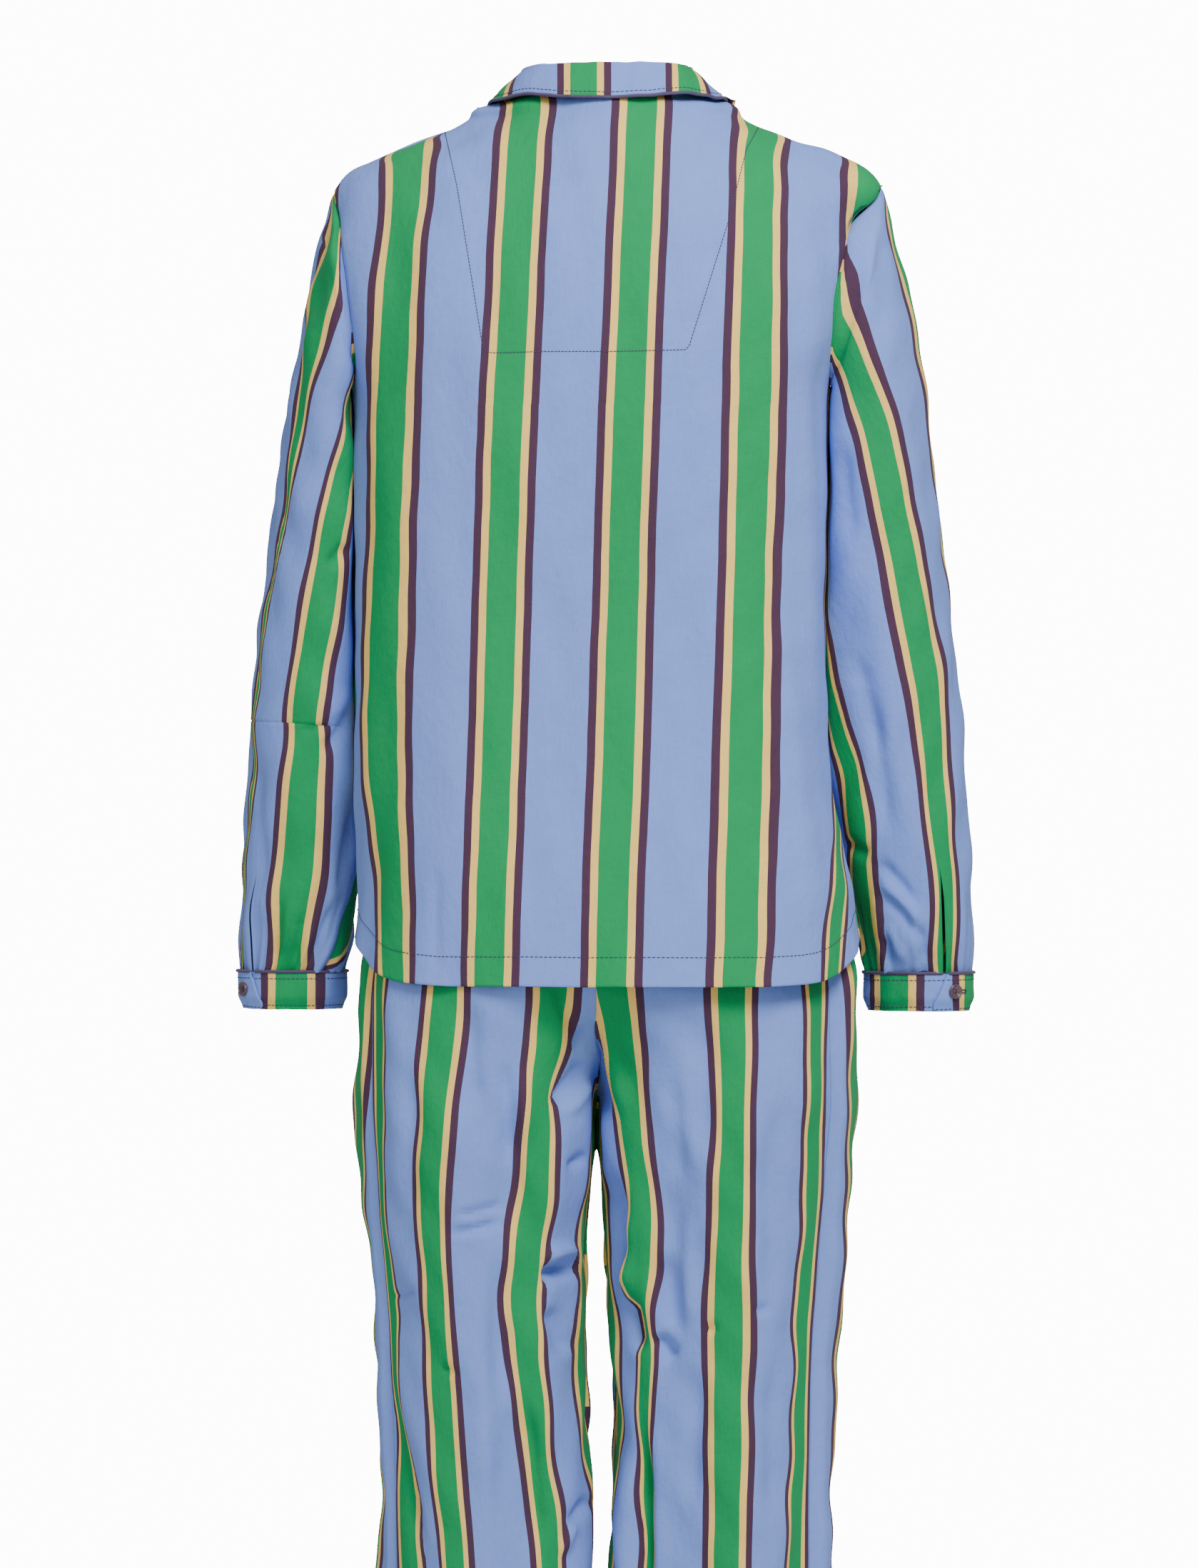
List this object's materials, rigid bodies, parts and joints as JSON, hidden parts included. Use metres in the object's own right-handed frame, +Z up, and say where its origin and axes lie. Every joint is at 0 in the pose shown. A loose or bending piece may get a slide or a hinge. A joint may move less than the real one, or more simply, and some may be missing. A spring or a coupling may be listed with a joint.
{
  "type": "pyjama set",
  "caption": "Regatta-striped cotton pyjama set with piped collar and cuffs, in its hollow worn shape",
  "frame": {"origin": "middle of the neck, at the height where the wearer's shoulders carry the shirt", "axes": "+Z up along the body, -Y towards the garment's front, +X towards the wearer's left"},
  "size_m": [0.5689, 0.2602, 1.5408],
  "materials": {
    "stripe_cloth": "plain-woven cotton poplin, yarn-dyed stripes of blue, green, cream and plum, soft low sheen",
    "piping": "narrow cotton satin piping, plum",
    "button": "polished dark brown button"
  },
  "bodies": {
    "root": {"shirt_back": "stripe_cloth", "shirt_front_left": "stripe_cloth", "shirt_front_right": "stripe_cloth", "collar": "stripe_cloth", "collar_piping": "piping", "sleeve_left": "stripe_cloth", "sleeve_left_forearm": "stripe_cloth", "sleeve_right": "stripe_cloth", "cuff_left": "stripe_cloth", "cuff_right": "stripe_cloth", "cuff_left_piping": "piping", "cuff_right_piping": "piping", "cuff_left_button": "button", "cuff_right_button": "button", "front_button_1": "button", "front_button_2": "button", "front_button_3": "button", "front_button_4": "button", "front_button_5": "button", "waistband": "stripe_cloth", "trouser_left_back": "stripe_cloth", "trouser_left_back_leg": "stripe_cloth", "trouser_left_front": "stripe_cloth", "trouser_left_front_leg": "stripe_cloth", "trouser_right_back": "stripe_cloth", "trouser_right_back_leg": "stripe_cloth", "trouser_right_front": "stripe_cloth", "trouser_right_front_leg": "stripe_cloth"}
  },
  "joints": []
}
